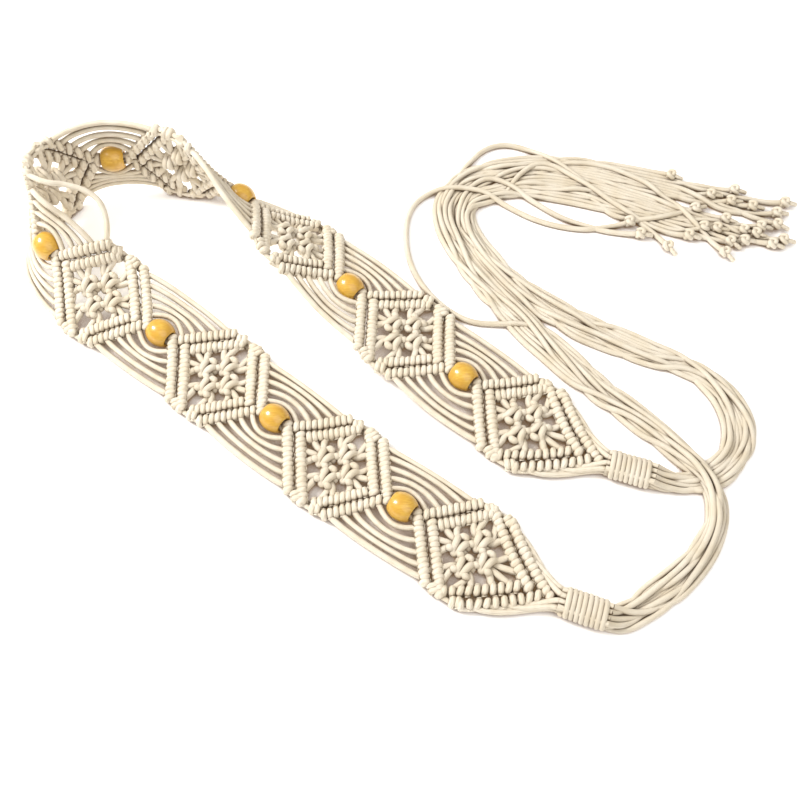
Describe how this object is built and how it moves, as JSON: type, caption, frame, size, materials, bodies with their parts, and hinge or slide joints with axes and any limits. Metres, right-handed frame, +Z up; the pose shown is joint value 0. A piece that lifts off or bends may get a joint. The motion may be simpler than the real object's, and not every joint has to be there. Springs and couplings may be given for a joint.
{
  "type": "macrame belt",
  "caption": "Knotted cord belt with pierced rhombic panels, wooden beads between them, a gathering wrap at each end and loose tie cords, laid in a U",
  "frame": {"origin": "middle of the knotted belt's own box, without the loose ties, on the surface that it lies on", "axes": "+Z up from the surface, +X towards the wraps and the loose ties, +Y away from the picture's camera"},
  "size_m": [0.4207, 0.2726, 0.0523],
  "materials": {
    "cord": "natural cream waxed cotton cord",
    "bead": "golden ochre lacquered wood, glossy"
  },
  "bodies": {
    "root": {"panel_1": "cord", "panel_2": "cord", "panel_3": "cord", "panel_4": "cord", "panel_5": "cord", "panel_6": "cord", "panel_7": "cord", "panel_8": "cord", "panel_9": "cord", "bead_1": "bead", "bead_2": "bead", "bead_3": "bead", "bead_4": "bead", "bead_5": "bead", "bead_6": "bead", "bead_7": "bead", "bead_8": "bead", "wrap_front": "cord", "wrap_back": "cord", "tie_front": "cord", "tie_back": "cord"}
  },
  "joints": []
}
